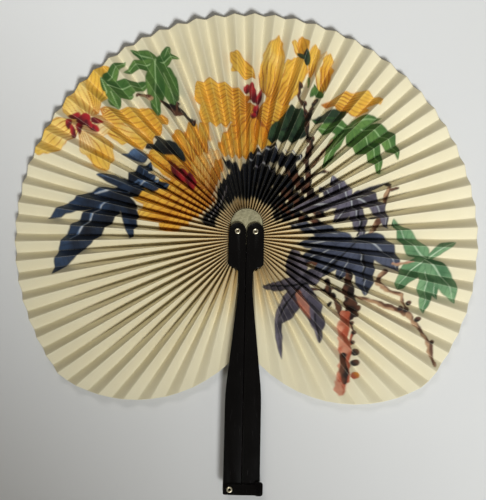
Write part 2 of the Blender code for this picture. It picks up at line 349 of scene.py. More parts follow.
class Board:
    """Adds nodes to one tree by type, settings and the values or wires of their sockets."""

    def __init__(self, tree):
        self.tree = tree

    def node(self, kind, settings=None, values=None, out=0):
        made = self.tree.nodes.new(kind)
        for key, value in (settings or {}).items():
            setattr(made, key, value)
        for key, value in (values or {}).items():
            if isinstance(value, Wire):
                self.tree.links.new(value.socket, made.inputs[key])
            else:
                made.inputs[key].default_value = value
        return Wire(self, made.outputs[out])

    def maths(self, operation, *values):
        return self.node("ShaderNodeMath", {"operation": operation}, dict(enumerate(values)))

    def mix(self, share, first, second, blend="MIX"):
        """Two colours mixed, each a wire or a paint."""
        colours = [c if isinstance(c, Wire) else (*c, 1.0) for c in (first, second)]
        values = {0: share, 6: colours[0], 7: colours[1]}
        return self.node("ShaderNodeMix", {"data_type": "RGBA", "blend_type": blend}, values, 2)

    def ramp(self, value, low, high):
        """0 below low, 1 above high, smooth between them."""
        settings = {"interpolation_type": "SMOOTHSTEP"}
        values = {"Value": value, "From Min": low, "From Max": high}
        return self.node("ShaderNodeMapRange", settings, values)

    def noise(self, place, scale, detail=3.0, rough=0.5):
        values = {"Vector": place, "Scale": scale, "Detail": detail, "Roughness": rough}
        return self.node("ShaderNodeTexNoise", {}, values)


class Finish(Board):
    """A material built round one Principled shader."""

    def __init__(self, name, **fixed):
        self.material = bpy.data.materials.new(name)
        self.material.use_nodes = True
        super().__init__(self.material.node_tree)
        self.shader = self.tree.nodes["Principled BSDF"]
        for key, value in fixed.items():
            self.shader.inputs[key.replace("_", " ")].default_value = value

    def place(self):
        """The place on the piece, in metres."""
        return self.node("ShaderNodeTexCoord", out=3)

    def set(self, **links):
        for key, wire in links.items():
            self.tree.links.new(wire.socket, self.shader.inputs[key.replace("_", " ")])

    def bump(self, height, depth, strength=1.0):
        values = {"Height": height, "Distance": depth, "Strength": strength}
        self.set(Normal=self.node("ShaderNodeBump", {}, values))


def hue(red, green, blue):
    """A colour from screen values of 0 to 255, as linear light."""
    scaled = [v / 255 for v in (red, green, blue)]
    return tuple(v / 12.92 if v <= 0.04045 else ((v + 0.055) / 1.055) ** 2.4 for v in scaled)


def open_tree(name, shape, sizes):
    """A Geometry Nodes tree's board, and its inputs: a shape and named sizes."""
    tree = bpy.data.node_groups.new(name, "GeometryNodeTree")
    tree.interface.new_socket(shape, in_out="INPUT", socket_type="NodeSocketGeometry")
    for label, size in sizes.items():
        socket = tree.interface.new_socket(label, in_out="INPUT", socket_type="NodeSocketFloat")
        socket.default_value = size
    tree.interface.new_socket(shape, in_out="OUTPUT", socket_type="NodeSocketGeometry")
    board = Board(tree)
    entry = tree.nodes.new("NodeGroupInput")
    return board, {socket.name: Wire(board, socket) for socket in entry.outputs if socket.name}


def closed_tree(board, shape, material):
    """The tree, ended in real faces with their material."""
    shape = board.node("GeometryNodeRealizeInstances", {}, {"Geometry": shape})
    shape = board.node("GeometryNodeSetMaterial", {}, {"Geometry": shape, "Material": material})
    leave = board.tree.nodes.new("NodeGroupOutput")
    board.tree.links.new(shape.socket, leave.inputs[0])
    return board.tree


# Paints

CREAM = hue(227, 218, 188)
PEACH = hue(240, 218, 164)
PALE_YELLOW = hue(240, 208, 118)
YELLOW = hue(234, 190, 74)
GOLD = hue(224, 166, 50)
ORANGE = hue(198, 126, 38)
RUST = hue(150, 78, 30)
RED = hue(172, 30, 40)
WINE = hue(92, 10, 24)
LEAF_GREEN = hue(54, 96, 42)
PALE_GREEN = hue(104, 140, 68)
LIGHT_RIB = hue(172, 202, 144)
DEEP_GREEN = hue(16, 34, 24)
MOSS = hue(60, 88, 54)
JADE = hue(56, 104, 64)
PALE_JADE = hue(132, 172, 126)
MINT = hue(196, 218, 186)
INK = hue(10, 10, 16)
SOOT = hue(46, 52, 48)
NAVY = hue(20, 28, 44)
MARINE = hue(38, 58, 86)
STEEL = hue(88, 114, 150)
SLATE = hue(40, 46, 62)
DUSK = hue(88, 94, 116)
PLUM = hue(56, 52, 64)
PALE_PLUM = hue(128, 122, 140)
ROSE = hue(188, 130, 112)
BARK = hue(92, 56, 38)
DARK_BARK = hue(32, 20, 16)
SAND = hue(174, 138, 106)
TERRACOTTA = hue(174, 86, 58)
PALE_CLAY = hue(212, 148, 120)
SILVER = hue(190, 194, 198)


# The painting, worked out at every point of the paper, in millimetres from the hub

# How far the dark ring reaches at each angle, in degrees clockwise from the top
RING_REACH = (
    (-84, 20), (-77, 24), (-60, 23), (-45, 22), (-28, 27), (-14, 33), (-4, 32), (2, 40),
    (14, 46), (28, 46), (38, 42), (50, 33), (62, 26), (70, 23), (76, 20),
)


def lattice(x, y, seed):
    value = np.sin(x * 127.1 + y * 311.7 + seed * 74.7) * 43758.5453
    return value - np.floor(value)


def mottle(x, y, scale, seed):
    """Smooth noise from 0 to 1 with features of that many millimetres."""
    x, y = x / scale + 500, y / scale + 500
    left, low = np.floor(x), np.floor(y)
    across, along = x - left, y - low
    across, along = across**2 * (3 - 2 * across), along**2 * (3 - 2 * along)
    foot = lattice(left, low, seed) * (1 - across) + lattice(left + 1, low, seed) * across
    head = lattice(left, low + 1, seed) * (1 - across) + lattice(left + 1, low + 1, seed) * across
    return foot * (1 - along) + head * along


def step(value, low, high):
    """0 below low, 1 above high, smooth between them."""
    share = np.clip((value - low) / (high - low), 0, 1)
    return share * share * (3 - 2 * share)


def blend(share, first, second):
    """Colours at every point, mixed from two colours or arrays of colours."""
    share = np.asarray(share)[:, None]
    return np.asarray(first) * (1 - share) + np.asarray(second) * share


class Painting:
    """Brush strokes laid over points, in order. Every stroke has its own noise."""

    EDGE = 0.4
    PETAL_PAINTS = (
        (-0.3, 0.05, PALE_YELLOW),
        (0.0, 0.3, YELLOW),
        (0.3, 0.7, GOLD),
        (0.75, 1.1, ORANGE),
    )

    def __init__(self, x, y):
        self.x, self.y = x, y
        self.colour = np.tile(np.array(CREAM), (len(x), 1))
        self.seed = 0

    def near(self, middle, reach):
        return np.flatnonzero(
            (np.abs(self.x - middle[0]) < reach) & (np.abs(self.y - middle[1]) < reach)
        )

    def lay(self, where, cover, colour):
        """Covers the paper, with the uneven density of a brushed wash."""
        x, y = self.x[where], self.y[where]
        density = 0.9 + 0.12 * mottle(x, y, 1.1, 5) + 0.14 * (mottle(x, y, 4.5, 6) - 0.5)
        colour = colour * density[:, None]
        self.colour[where] = blend(np.clip(cover, 0, 1), self.colour[where], colour)

    def axes(self, base, tip, bend):
        """Points near a stroke, the share along it, the distance across it, and its length."""
        self.seed += 1
        run = (tip[0] - base[0], tip[1] - base[1])
        length = math.hypot(*run)
        middle = ((base[0] + tip[0]) / 2, (base[1] + tip[1]) / 2)
        where = self.near(middle, length)
        x, y = self.x[where], self.y[where]
        dx, dy = x - base[0], y - base[1]
        along = (dx * run[0] + dy * run[1]) / length**2
        across = (dx * run[1] - dy * run[0]) / length
        return where, x, y, along, across - 4 * bend * along * (1 - along), length

    @staticmethod
    def width(inside, half, swell, taper):
        """A stroke's half width: widest at swell, and drawn out to its tip by taper."""
        rise = taper * swell / (1 - swell)
        peak = swell**rise * (1 - swell) ** taper
        return half * inside**rise * (1 - inside) ** taper / peak

    def petal(self, base, tip, half, tone=0.3, bend=0.0, swell=0.6, taper=0.6, veins=5, depth=0.35):
        """A broad ruffled petal with fine veins, deeper in colour by depth towards its base."""
        where, x, y, along, across, _ = self.axes(base, tip, bend)
        inside = np.clip(along, 0, 1)
        width = self.width(inside, half, swell, taper)
        ruffle = (mottle(x, y, 3.2, self.seed) - 0.5) * 2.0 * step(inside, 0.15, 0.6)
        broad = width + ruffle * step(width, 0, 2)
        gap = np.where((along > 0) & (along < 1), broad, -2) - np.abs(across)
        cover = step(gap, -self.EDGE, self.EDGE)
        waver = (mottle(x, y, 7, self.seed + 40) - 0.5) * 0.9
        wave = across / np.maximum(width, 1.5) * veins / 2 + waver
        apart = np.maximum(width, 1.5) * 2 / veins
        line = 1 - step(np.abs(wave - np.round(wave)) * apart, 0.1, 0.42)
        wash = mottle(x, y, 8, self.seed + 9)
        deep = tone + depth * (1 - inside) ** 1.5 + (wash - 0.5) * 0.5
        colour = PEACH
        for low, high, paint in self.PETAL_PAINTS:
            colour = blend(step(deep, low, high), colour, paint)
        ink = blend(step(deep, -0.2, 0.5), ORANGE, RUST)
        firm = 0.45 + 0.5 * step(1 - inside, 0.1, 0.8)
        firm = firm * (0.6 + 0.6 * mottle(x, y, 5, self.seed + 3))
        colour = blend(line * np.clip(firm, 0, 1), colour, ink)
        rim = 1 - step(gap, 0.15, 0.9)
        colour = blend(rim * 0.4, colour, ORANGE)
        self.lay(where, cover, colour)

    def lobe(self, base, tip, half, dark, light, bend=0.0, rib=None, swell=0.4, tip_light=0.0):
        """A pointed lobe of a leaf: one side lighter, fine side veins and a pale midrib."""
        where, x, y, along, across, length = self.axes(base, tip, bend)
        inside = np.clip(along, 0, 1)
        width = self.width(inside, half, swell, 0.8)
        ruffle = (mottle(x, y, 3.4, self.seed) - 0.5) * 1.3 * step(width, 0.5, 3)
        gap = np.where((along > -0.02) & (along < 1), width + ruffle, -2) - np.abs(across)
        cover = step(gap, -self.EDGE, self.EDGE)
        side = step(across / np.maximum(width, 1), -0.15, 0.5)
        wash = mottle(x, y, 6, self.seed + 11)
        shade = 0.12 + side * 0.42 + (wash - 0.3) * 0.6 + tip_light * step(inside, 0.45, 0.95)
        colour = blend(np.clip(shade, 0, 1), dark, light)
        spur = inside * length / 4.2 - np.abs(across) * 0.28
        vein = 1 - step(np.abs(spur - np.round(spur)), 0.04, 0.16)
        colour = blend(vein * 0.3 * step(gap, 0.2, 1.2), colour, np.array(dark) * 0.6)
        rim = 1 - step(gap, 0.1, 0.8)
        colour = blend(rim * 0.45, colour, np.array(dark) * 0.8)
        if rib is not None:
            line = 1 - step(np.abs(across), 0.12, 0.62 - 0.3 * inside)
            colour = blend(line * (0.9 - 0.5 * inside), colour, rib)
        self.lay(where, cover, colour)

    def twig(self, points, dark, light):
        """A rough twig along points of (x, y, width)."""
        self.seed += 1
        for (start_x, start_y, first), (end_x, end_y, last) in zip(points, points[1:]):
            run = (end_x - start_x, end_y - start_y)
            length = math.hypot(*run)
            where = self.near(((start_x + end_x) / 2, (start_y + end_y) / 2), length / 2 + 5)
            x, y = self.x[where], self.y[where]
            dx, dy = x - start_x, y - start_y
            along = np.clip((dx * run[0] + dy * run[1]) / length**2, 0, 1)
            away = np.hypot(dx - along * run[0], dy - along * run[1])
            wide = (first + (last - first) * along) / 2
            rough = (mottle(x, y, 2.0, self.seed) - 0.45) * np.minimum(wide, 1.4)
            cover = step(wide + rough - away, -self.EDGE, self.EDGE * 0.8)
            side = (dx * run[1] - dy * run[0]) / length / np.maximum(wide, 0.5)
            shade = step(mottle(x, y, 2.6, self.seed + 5) + side * 0.35, 0.25, 0.8)
            self.lay(where, cover, blend(shade, dark, light))

    def blob(self, middle, length, width, angle, dark, light=None):
        """A rounded dab, such as a stamen's tip or a bud scale."""
        self.seed += 1
        where = self.near(middle, length)
        turn = math.radians(angle)
        dx, dy = self.x[where] - middle[0], self.y[where] - middle[1]
        along = (dx * math.cos(turn) + dy * math.sin(turn)) / (length / 2)
        across = (dy * math.cos(turn) - dx * math.sin(turn)) / (width / 2)
        away = np.hypot(along, across)
        rough = (mottle(self.x[where], self.y[where], 1.6, self.seed) - 0.5) * 0.2
        edge = self.EDGE / (width / 2)
        cover = 1 - step(away + rough, 1 - edge * 0.6, 1 + edge)
        colour = blend(step(along + across * 0.6, -0.5, 0.8), dark, dark if light is None else light)
        self.lay(where, cover, colour)

    def twigs(self, dark, light, *twigs):
        for points in twigs:
            self.twig(points, dark, light)

    def flower(self, petals, stamens, depth):
        for petal in petals:
            self.petal(*petal, depth=depth)
        for middle, length, width, angle in stamens:
            self.blob(middle, length, width, angle, WINE, RED)

    def leaf(self, lobes, dark, light, rib, tip_light=0.0):
        for base, tip, half, bend in lobes:
            self.lobe(base, tip, half, dark, light, bend, rib, 0.42, tip_light)


def paint_flowers(art):
    """Three open flowers, each as petals of (base, tip, half width, tone, bend), then stamens."""
    petals = (
        ((-84, 58), (-100, 71), 6, 0.25, 0), ((-84, 58), (-93, 84), 6.5, 0.2, 1),
        ((-82, 62), (-81, 91), 6.5, 0.35, 0, 0.7, 0.45),
        ((-80, 66), (-46, 55), 8.5, 0.4, 3, 0.62, 0.5, 6), ((-82, 62), (-43, 60), 6, 0.45, 0),
        ((-82, 60), (-51, 48), 5.5, 0.3, 1.5), ((-86, 58), (-117, 45), 9.5, 0.3, 1, 0.7, 0.5, 6),
        ((-88, 54), (-74, 33), 7.5, 0.25, -1.5, 0.6, 0.6), ((-90, 56), (-84, 40), 4, 0.1, 0),
        ((-96, 56), (-72, 57), 5.5, -0.1, 0),
    )
    stamens = (
        ((-93.5, 62), 6.4, 3.4, 15), ((-96, 57.2), 5, 3.6, 75),
        ((-94, 53), 6.2, 3, 100), ((-90.2, 55.2), 6.6, 3.4, 95),
        ((-88.5, 60), 8, 5.4, 5), ((-83, 55.8), 6.4, 3.2, -25),
        ((-81, 58.8), 7, 2.8, -12), ((-86, 58), 5, 3, -30),
    )
    art.flower(petals, stamens, -0.45)
    petals = (
        ((-16, 22), (-60, 17), 7, 0.4, 2, 0.6), ((-16, 18), (-46, 1), 5.5, 0.45, 1, 0.6),
        ((-17, 20), (-58, 8), 6, 0.4, 0, 0.6), ((-22, 24), (-54, 42), 6.5, 0.5, 1.5, 0.55),
        ((-26, 30), (-39.5, 55), 4.2, 0.4, 0), ((-26, 30), (-31, 61), 4.2, 0.35, -0.5),
        ((-25, 32), (-24, 61), 3.8, 0.35, 0), ((-22, 22), (-17, 45), 6.5, -0.35, -1),
        ((-24, 24), (-25, 42), 4.5, 0.1, -0.5), ((-19, 20), (-15, 40), 3, 0.35, -0.5),
        ((-28, 28), (-44, 34), 5, 0.6, 0),
    )
    stamens = (
        ((-38.5, 34.5), 11, 3, -48), ((-34, 30.5), 12, 4.4, -46),
        ((-30, 27), 9, 5.2, -64), ((-37, 30.5), 10, 3, -42),
    )
    art.flower(petals, stamens, 0.3)
    petals = (
        ((3, 84), (-11, 100), 4.6, 0.2, -1, 0.5, 0.9, 4),
        ((1, 73), (-29.5, 78), 7.5, 0.35, -1, 0.68, 0.35, 6),
        ((2, 69), (-27, 65), 8.5, 0.35, 0, 0.62, 0.5, 6),
        ((3, 70), (-13, 42), 7, 0.35, -1, 0.65, 0.45, 5),
        ((4, 70), (-4, 40.5), 6.5, 0.4, 0, 0.65, 0.5, 5),
        ((6, 66), (8, 46), 6.5, 0.4, 0, 0.6, 0.5, 4),
        ((6, 57), (28, 97), 7.4, 0.4, 0.5, 0.66, 0.4, 8),
        ((4, 64), (23, 66), 7.5, 0.4, 0, 0.5, 0.6, 7),
        ((9, 74), (15.5, 110), 6.8, 0.25, 0, 0.45, 0.9, 6),
    )
    stamens = (
        ((-1.4, 79), 5, 3.4, 100), ((1, 79.2), 5, 3, 80),
        ((2, 75), 9, 4.2, 95), ((5.2, 74.2), 8.5, 2.8, 78),
        ((3.6, 67), 7, 2.8, 80), ((2.2, 63.6), 4.4, 2, 60),
    )
    art.flower(petals, stamens, 0.4)


def paint_buds(art):
    for bud in (
        ((27.5, 97), (24, 107), 2.6, 0.1, 0, 0.6, 0.8, 3),
        ((29, 96), (28, 110), 3, 0.6, 0, 0.5, 0.8, 3),
        ((32, 84), (35.5, 105), 2.8, 0.35, 0.6, 0.6, 0.8, 3),
        ((39, 76), (41, 100), 4.6, -0.1, -1, 0.55, 0.8, 3),
        ((40.5, 77), (43.5, 99.5), 3.2, 0.35, -1, 0.55, 0.8, 3),
        ((38, 70), (71.5, 73.5), 5, 0.35, -1.5, 0.6, 0.7, 5),
        ((44, 70), (64, 68), 3.2, 0.4, 1, 0.6, 0.7, 3),
    ):
        art.petal(*bud)
    art.lobe((30.5, 92.5), (30.5, 101.5), 2, DEEP_GREEN, MOSS)
    art.lobe((29.8, 95), (25.5, 100.5), 1.2, DEEP_GREEN, MOSS)
    art.twigs(LEAF_GREEN, PALE_GREEN, ((32, 86, 1.2), (31.5, 80, 1)))
    art.lobe((39, 73.5), (34.5, 81.5), 2, LEAF_GREEN, PALE_GREEN)
    art.lobe((36, 80.5), (32.3, 74.5), 1.4, LEAF_GREEN, PALE_GREEN)


def paint_green_leaves(art):
    lobes = (
        ((-75, 76), (-69, 67), 3.6, 0), ((-77, 77), (-62, 73), 3.2, 0),
        ((-76, 79), (-70, 66.5), 3.2, 0), ((-77, 75), (-67.5, 93), 3.8, -2.5),
        ((-79, 79), (-53, 80), 4.2, 1.5), ((-77, 76), (-80, 83), 1.8, 0),
    )
    art.leaf(lobes, LEAF_GREEN, PALE_GREEN, LIGHT_RIB)
    lobes = (
        ((-49, 91), (-65, 99), 3.4, 0.8), ((-50, 91), (-68, 86), 3.6, 2.5),
        ((-50, 90), (-43.5, 101), 3.6, 0), ((-50, 92), (-38.5, 96), 2.6, -0.5),
        ((-51, 93), (-39.5, 67), 5.6, -1.6), ((-51, 94), (-48.8, 62.5), 5.2, 0.8),
    )
    art.leaf(lobes, LEAF_GREEN, PALE_GREEN, LIGHT_RIB)
    art.lobe((31, 66), (10, 50), 6.6, DEEP_GREEN, MOSS, 0, INK, 0.42)
    art.lobe((31, 55), (14, 52), 3.6, DEEP_GREEN, MOSS, 0, None, 0.4)
    art.lobe((26, 56), (23, 70.5), 4.6, DEEP_GREEN, MOSS, 0, None, 0.5)
    art.lobe((33, 61.5), (52, 67), 4, DEEP_GREEN, MOSS, 1.2, LEAF_GREEN, 0.6)
    lobes = (
        ((53, 58), (40, 35.5), 3, 1.6), ((54, 58), (63, 43), 5.6, 0),
        ((54, 60), (70, 33), 4.8, -3.4), ((56, 58), (80, 41.5), 5.2, -5.2),
        ((52, 56), (71, 64), 2.9, -2.2), ((56, 58), (35.5, 56), 3.6, 1.2),
    )
    art.leaf(lobes, LEAF_GREEN, PALE_GREEN, LIGHT_RIB)


def paint_jade_leaf(art):
    lobes = (
        ((97, -13), (76.5, 9), 4.6, -2), ((95, -12), (110, -2.5), 2.6, -1),
        ((94, -12), (78, -28.5), 5, 1.5), ((95, -14), (99, -33), 3.4, 0),
        ((94, -12), (92, -40.5), 4.2, -0.6), ((93, -12), (108.5, -35), 5.2, -2.6),
    )
    art.leaf(lobes, JADE, PALE_JADE, MINT)
    art.twigs(SAND, ROSE, ((87, -13.5, 0.7), (79, -15, 1.1), (76.5, -14.5, 0.8)))


def paint_dark_ring(art):
    """A dark, broken band of leaves round the top of the hub."""
    turn = np.degrees(np.arctan2(art.x, art.y))
    away = np.hypot(art.x, art.y - 2)
    outer = np.interp(turn, *zip(*RING_REACH))
    outer = outer + (mottle(art.x, art.y, 4.5, 71) - 0.5) * 5
    inner = 16.5 + (mottle(art.x, art.y, 3, 72) - 0.5) * 5
    cover = step(outer - away, -0.5, 0.5) * step(away - inner, -1.2, 1.2)
    cover *= step(turn, -82, -78) * step(76 - turn, -2, 6)
    hollow = step(mottle(art.x, art.y, 4.2, 73), 0.66, 0.76) * step(turn, 8, 30)
    cover *= 1 - hollow * step(away, 18, 22)
    sheen = step(mottle(art.x, art.y, 5, 74), 0.45, 0.95)
    art.lay(np.arange(len(art.x)), cover, blend(sheen * 0.6, INK, NAVY))
    for base, tip, half in (
        ((-2, 30), (-14, 40), 2.2), ((-4, 28), (-8, 39), 1.8),
        ((-2, 28), (-1, 38.5), 2.6), ((6, 34), (1.5, 44), 3.4),
        ((10, 38), (14, 49), 4), ((16, 38), (29, 42), 3.6),
    ):
        art.lobe(base, tip, half, INK, NAVY)
    art.twigs(
        PALE_PLUM, SILVER,
        ((1, 39, 0.5), (6, 43.5, 0.5), (12, 46.5, 0.5), (16, 46, 0.5)),
        ((3, 35, 0.5), (9, 38, 0.5), (13, 33.5, 0.5)),
        ((20, 45, 0.5), (26, 43.5, 0.5), (28.5, 40, 0.5)),
        ((-20, 6, 0.5), (-14, 15, 0.5), (-11, 24, 0.5)),
    )
    art.twigs(
        INK, BARK,
        ((22, 34, 4), (28, 27, 6), (36, 20, 3)),
        ((20, 22, 5), (30, 16, 6), (40, 10, 3)),
        ((16, 16, 3), (26, 10, 4), (41, 5, 2)),
        ((32, 18, 4), (40, 18, 3)),
    )


def paint_navy_leaves(art):
    lobes = (
        ((-64, 21), (-51, 36.5), 4.6, 0), ((-66, 25), (-48, 29), 3.4, 0),
        ((-58, 27), (-40.5, 24.5), 2.6, 1), ((-58, 22), (-80, 29.5), 2.8, 0.8),
    )
    art.leaf(lobes, INK, MARINE, STEEL, 0.3)
    lobes = (
        ((-67, 21), (-61, -4.5), 4.6, -2.4), ((-54, 22), (-105, 5.5), 4.6, 3),
        ((-66, 16), (-100.5, -24), 7.2, 3.4),
    )
    art.leaf(lobes, INK, MARINE, None, 0.6)
    art.twigs(
        STEEL, SILVER,
        ((-92, -5, 0.5), (-86, 1, 0.8), (-81, 8, 0.8), (-77, 13, 0.6), (-73, 15, 0.4)),
        ((-81, 20, 0.4), (-73, 21, 0.7), (-63, 21, 0.5)),
        ((-60, 24, 0.4), (-54, 26.5, 0.8), (-47, 27, 0.5)),
    )
    art.lobe((-52.5, 38.5), (-67, 40.5), 2.8, SLATE, STEEL, 1.2, None, 0.45, 0.3)
    art.lobe((-33, 38.5), (-55, 45), 3.6, INK, SOOT, 4, None, 0.5)
    art.lobe((-38, 43), (-50, 50.5), 2, INK, SOOT, 1.2, None, 0.5)


def paint_plum_leaves(art):
    lobes = (
        ((54, 17), (37.5, 25), 4.2, 0), ((55, 18), (44, 31), 4.4, 0),
        ((54, 18), (22, 12), 3.6, 0.8), ((54, 17), (46, 6.5), 4, 0),
        ((55, 21), (74, 29), 1.2, 0), ((54, 20), (71, 16), 3.8, -2.6),
        ((56, 19), (74, 3.5), 3.8, -5), ((53, 20), (60.5, -2), 4, -1.5),
    )
    art.leaf(lobes, PLUM, PALE_PLUM, SILVER, -0.1)
    lobes = (
        ((57, -3), (21, 5), 3.6, 0.8), ((57, -3), (26, -6), 4.2, 0.5),
        ((57, -3), (26, -15), 4.6, 0), ((57, -4), (34, -25), 5.4, 1),
        ((58, -4), (48, -24), 5.6, 0), ((58, -2), (62, -32), 6.6, -1),
        ((56, -2), (80, -19), 6.6, -4),
    )
    art.leaf(lobes, SLATE, DUSK, SILVER, -0.05)
    art.twigs(
        INK, INK,
        ((57, -4, 0.5), (48, -13, 1), (38, -23, 1.2), (34, -25, 0.6)),
        ((59, -7, 0.5), (62, -14, 1.2), (61, -24, 0.8)),
        ((58, 14, 0.5), (60, 6, 1), (58, 0, 0.8)),
    )
    lobes = (
        ((28, -25), (24, -8), 5.4, 0), ((30, -25), (40, -20), 4.6, 0),
        ((32, -24), (8.5, -28.5), 3, -1), ((29, -24), (17, -48), 5.2, -1),
        ((17.5, -38), (19.3, -65.5), 2, 0.8), ((29, -25), (38.8, -57), 4.4, -2),
    )
    art.leaf(lobes, PLUM, PALE_PLUM, None, 0.1)
    art.lobe((26.5, -29), (34, -45), 2.4, ROSE, PALE_CLAY, 0, None)
    art.twigs(
        INK, INK,
        ((29, -27, 1), (21, -37, 0.9), (17.6, -44, 0.5)),
        ((32, -26, 0.9), (22, -27.5, 0.8), (9.5, -27.5, 0.5)),
    )
    art.twigs(INK, PLUM, ((36, -42, 0.8), (37.5, -50, 0.9), (38.7, -56, 0.5)))


def paint_branches(art):
    art.twigs(BARK, SAND, ((-60, 73, 1.4), (-56, 74.5, 2.2), (-52, 72.5, 1.4)))
    art.twigs(
        DARK_BARK, BARK,
        ((-46, 70, 2.2), (-41, 67, 3.4), (-36, 64, 2.8), (-30, 59.5, 2)),
        ((-38, 69, 1.6), (-38.5, 65, 1.4)),
    )
    art.blob((-29.5, 59.5), 3, 2.4, 60, DARK_BARK, BARK)
    art.twigs(
        DARK_BARK, BARK,
        ((27.5, 82, 1.8), (26.5, 76, 1.1), (28.5, 70, 1.4), (31.5, 64, 2)),
        ((36, 73, 2), (33.5, 69, 1.1), (32, 62, 1.8)),
        ((31.5, 66, 2), (31, 56, 2), (33.5, 48, 2.8), (31, 40, 2.6), (32, 30, 3.4), (33, 20, 3)),
    )
    art.twigs(BARK, SAND, ((45, 52, 0.8), (39, 44, 1.4), (34, 36, 1.8)))
    art.twigs(DARK_BARK, BARK, ((43, 34, 0.8), (37, 32.5, 1.6), (31, 31, 1.4)))
    knots = ((27.8, 81.5), (29.6, 70.5), (34.8, 72), (33.5, 68), (30.5, 67), (34, 51), (31.5, 44))
    for knot in knots:
        art.blob(knot, 2.6, 2.2, 40, DARK_BARK, BARK)
    art.twigs(BARK, SAND, ((75, 28, 1.6), (73.5, 22, 2.4), (71.5, 15, 1.6)))
    art.blob((74.5, 27.8), 3.2, 2.4, 20, DARK_BARK)
    art.twigs(DARK_BARK, BARK, ((79.5, 25.5, 0.9), (75.5, 24.5, 1.3)))
    art.twigs(BARK, SAND, ((71, 10, 3.6), (67, 4, 3), (63, -1, 1.4)))
    art.blob((66, 9), 5, 1.4, 8, DARK_BARK)
    art.twigs(WINE, BARK, ((30, -14, 2), (40, -16, 3), (43, -20, 2)))
    art.twigs(
        DARK_BARK, BARK,
        ((34, -29, 1.4), (42, -29.5, 2), (46, -33, 2.8), (50, -42, 2.4)),
        ((42.5, -25, 3.2), (43.5, -30, 2.4)),
        ((45, -28, 2), (52, -31, 1.6), (57, -32, 1.4)),
    )
    art.blob((43.8, -36.5), 2.8, 1.8, 60, DARK_BARK)
    art.twigs(
        BARK, SAND,
        ((57, -32, 1.2), (66, -34.5, 1.8), (75, -37.5, 1.8), (84, -41, 2.4)),
        ((84, -41, 2.2), (90, -48, 2), (95, -57, 2.2), (97.5, -66, 2.8)),
        ((72, -18.5, 2.4), (68, -24.5, 2.4), (74, -29, 1.6), (81, -31, 1.4), (83, -38, 1.6)),
    )
    knots = ((80, -38, 3), (85, -35, 2.8), (89, -43.5, 3.2), (96, -55, 2.6), (83, -38.5, 3.4))
    for x, y, size in knots:
        art.blob((x, y), size, size * 0.8, 30, DARK_BARK, BARK)


def paint_trunk(art):
    art.twigs(DARK_BARK, BARK, ((54, -19, 3.2), (53.5, -28, 5.2), (54.5, -38, 6), (52.5, -44, 5)))
    art.twigs(
        TERRACOTTA, PALE_CLAY,
        ((51.5, -42, 5), (50.5, -52, 5.5), (52, -62, 5.5), (51, -72, 6), (49.5, -80, 6.5)),
    )
    art.twigs(DARK_BARK, BARK, ((51, -63, 3.4), (51, -70, 4.2), (52, -77, 1.6)))
    art.twigs(DARK_BARK, TERRACOTTA, ((54, -44, 1.6), (55.5, -50, 1.2), (55, -57, 1.4)))
    for x, y, length in ((57.5, -38.5, 4.6), (56.5, -41.5, 4.4), (57, -61, 4.6), (57, -66.5, 4.4)):
        art.blob((x, y), length, 3.4, 8, DARK_BARK, BARK)
    for x, y in ((55.5, -46), (56, -51), (56, -56)):
        art.blob((x, y), 2.4, 2, 0, DARK_BARK, BARK)
    art.blob((57, -72.8), 5, 3.6, 5, TERRACOTTA, ORANGE)


def painted(x, y):
    """The colour of the leaf's front at points in metres from the hub."""
    art = Painting(x / MM, y / MM)
    paint_flowers(art)
    paint_buds(art)
    paint_dark_ring(art)
    paint_green_leaves(art)
    paint_branches(art)
    paint_navy_leaves(art)
    paint_plum_leaves(art)
    paint_jade_leaf(art)
    paint_trunk(art)
    return art.colour


# The pleated leaf


def pitch(angle):
    """Degrees that one pleat spans at an angle, in degrees clockwise from the top."""
    share = min(max(angle / PITCH_CHANGE + 0.5, 0), 1)
    even = PITCH_LEFT + (PITCH_RIGHT - PITCH_LEFT) * share
    return even + PITCH_GROWTH * max(0, abs(angle) - GROWTH_FROM)


def fold_angles():
    """Angles of all folds along the rim, from the left end of the leaf to the right end."""
    last = math.degrees(LAST_FOLD)
    grid = np.linspace(-last, last, FOLD_SAMPLES)
    density = np.array([1 / pitch(angle) for angle in grid[1:]])
    passed = np.concatenate([[0], np.cumsum(density)])
    wanted = np.linspace(0, passed[-1], 2 * PLEATS + 1)
    return np.radians(np.interp(wanted, passed, grid))


def rim_points(angles):
    """Where folds meet the rim: a circle, cut back by a smaller round lobe near the handle."""
    across, along = np.sin(angles), np.cos(angles)
    reach = np.sign(angles) * LOBE_X * across + LOBE_Y * along
    lobe = reach + np.sqrt(LOBE_RADIUS**2 - LOBE_X**2 - LOBE_Y**2 + reach**2)
    near_handle = np.abs(angles) > math.radians(GROWTH_FROM - 10)
    radius = np.where(near_handle, np.minimum(LEAF_RADIUS, lobe), LEAF_RADIUS)
    return np.stack([radius * across, radius * along], 1)


def inner_point(angle):
    """Where a fold ends at the hub: an arch round the plate, its sides, then in to the web."""
    turn, side = abs(angle), math.copysign(1, angle)
    quarter = math.pi / 2
    if turn <= quarter:
        along = (quarter * INNER_RADIUS + INNER_DROP) * turn / quarter
        lean = min(along / INNER_RADIUS, quarter)
        rise = INNER_RADIUS * math.cos(lean) - (along - lean * INNER_RADIUS)
        return side * INNER_RADIUS * math.sin(lean), ARCH_Y + rise
    low = ARCH_Y - INNER_DROP
    if turn <= SIDE_TURN:
        share = (turn - quarter) / (SIDE_TURN - quarter)
        return side * INNER_RADIUS, low + (INNER_SIDE_END - low) * share
    share = quarter * (turn - SIDE_TURN) / (LAST_FOLD - SIDE_TURN)
    x = INNER_END[0] + (INNER_RADIUS - INNER_END[0]) * math.cos(share)
    y = INNER_SIDE_END + (INNER_END[1] - INNER_SIDE_END) * math.sin(share)
    return side * x, y


